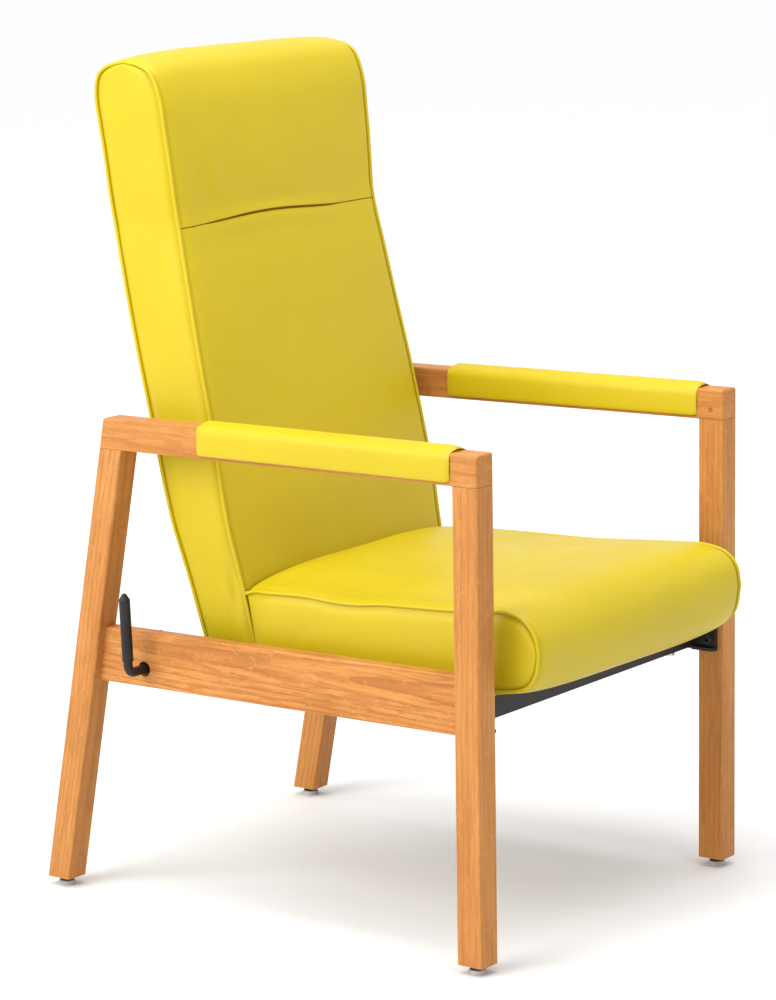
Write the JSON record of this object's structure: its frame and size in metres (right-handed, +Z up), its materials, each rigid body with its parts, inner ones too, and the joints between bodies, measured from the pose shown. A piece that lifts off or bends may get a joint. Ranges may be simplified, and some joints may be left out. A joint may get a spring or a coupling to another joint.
{
  "type": "patient recliner chair",
  "caption": "High-backed ward armchair with oak side frames, a yellow vinyl seat and hinged back with a head section, padded arms, and a cranked lever that clamps the recline.",
  "frame": {"origin": "on the floor, at the centre of the chair's footprint box", "axes": "+Z up, -Y to the front where the sitter faces, -X to the sitter's right where the lever is"},
  "size_m": [0.6202, 0.7552, 1.0942],
  "materials": {
    "oak": "clear satin lacquer over straight-grained oak",
    "beech": "bare sanded hardwood",
    "plywood": "bare plywood",
    "vinyl": "smooth yellow upholstery vinyl, soft satin",
    "foam": "open-cell foam",
    "black_steel": "satin black paint",
    "bright_steel": "zinc plated",
    "fibre": "red-brown vulcanised fibre",
    "glide": "worn grey nylon",
    "rubber": "matt",
    "grip": "dip-coated black vinyl sleeve"
  },
  "bodies": {
    "frame": {"front_leg_right": "oak", "front_leg_left": "oak", "rear_leg_right": "oak", "rear_leg_left": "oak", "arm_rail_right": "oak", "arm_rail_left": "oak", "side_rail_right": "oak", "side_rail_left": "oak", "rail_dowels": "beech", "arm_pegs": "oak", "arm_foam_right": "foam", "arm_foam_left": "foam", "arm_cover_right": "vinyl", "arm_cover_left": "vinyl", "front_crossbar": "black_steel", "rear_crossbar": "black_steel", "crossbar_bolts": "black_steel", "seat_board": "plywood", "seat_foam": "foam", "seat_cover": "vinyl", "seat_bolts": "bright_steel", "seat_washers": "bright_steel", "hinge_bracket_right": "black_steel", "hinge_bracket_left": "black_steel", "hinge_pin_right": "bright_steel", "hinge_pin_left": "bright_steel", "hinge_pin_nuts": "bright_steel", "hinge_washers": "fibre", "friction_washer": "fibre", "clamp_bush": "bright_steel", "front_glide_right": "glide", "front_glide_left": "glide", "rear_glide_right": "glide", "rear_glide_left": "glide", "glide_cushions": "rubber", "glide_nails": "bright_steel"},
    "back": {"back_stile_right": "beech", "back_stile_left": "beech", "back_bottom_rail": "beech", "back_middle_rail": "beech", "back_top_rail": "beech", "back_panel": "plywood", "back_foam": "foam", "head_foam": "foam", "back_cover": "vinyl", "hinge_plate_right": "black_steel", "hinge_plate_left": "black_steel", "hinge_plate_screws": "bright_steel"},
    "lever": {"lever_rod": "black_steel", "lever_grip": "grip", "clamp_washer": "bright_steel", "clamp_nut": "bright_steel"}
  },
  "joints": [
    {"name": "back_recline", "type": "hinge", "parent": "frame", "child": "back", "pos_m": [0.00788, 0.11082, 0.328], "axis": [-1, 0, 0], "range_deg": [0, 20]},
    {"name": "lever_turn", "type": "hinge", "parent": "frame", "child": "lever", "pos_m": [-0.28212, 0.20832, 0.3146], "axis": [1, 0, 0], "range_deg": [0, 75]}
  ]
}
